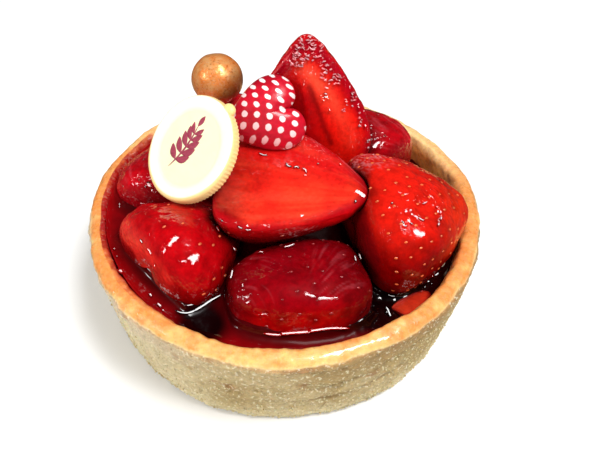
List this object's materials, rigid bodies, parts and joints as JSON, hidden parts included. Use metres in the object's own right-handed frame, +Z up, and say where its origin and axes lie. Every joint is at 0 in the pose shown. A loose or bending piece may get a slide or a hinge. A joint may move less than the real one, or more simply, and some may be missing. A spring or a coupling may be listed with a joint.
{
  "type": "strawberry tartlet",
  "caption": "Round shortcrust tartlet filled with pastry cream and red jelly, topped with glazed strawberries, a medallion, a spotted heart and a bronze pearl of chocolate.",
  "frame": {"origin": "centre of the flat base, at the level it stands on", "axes": "+Z up, -Y towards the front, where the camera of the picture stands, +X to its right"},
  "size_m": [0.085, 0.0852, 0.0547],
  "materials": {
    "crust": "sandy baked shortcrust, glazed golden on the rim",
    "ripe_berry": "wet glaze over bright red skin",
    "dark_berry": "wet glaze over dark crimson skin",
    "cut_berry": "wet glaze over orange-red cut flesh",
    "cream": "smooth satin pastry cream",
    "jelly": "clear dark red jelly",
    "red_chocolate": "satin crimson with white round spots",
    "white_chocolate": "satin ivory with a small burgundy sprig",
    "bronze": "speckled bronze lustre"
  },
  "bodies": {
    "root": {"pastry_shell": "crust", "strawberry_front": "dark_berry", "strawberry_front_left": "ripe_berry", "strawberry_half_lying": "cut_berry", "strawberry_right": "ripe_berry", "strawberry_back_right": "dark_berry", "strawberry_back": "dark_berry", "strawberry_left": "dark_berry", "strawberry_half_standing": "cut_berry", "strawberry_slice": "cut_berry", "pastry_cream": "cream", "glaze_jelly": "jelly", "chocolate_heart": "red_chocolate", "chocolate_medallion": "white_chocolate", "chocolate_pearl": "bronze"}
  },
  "joints": []
}
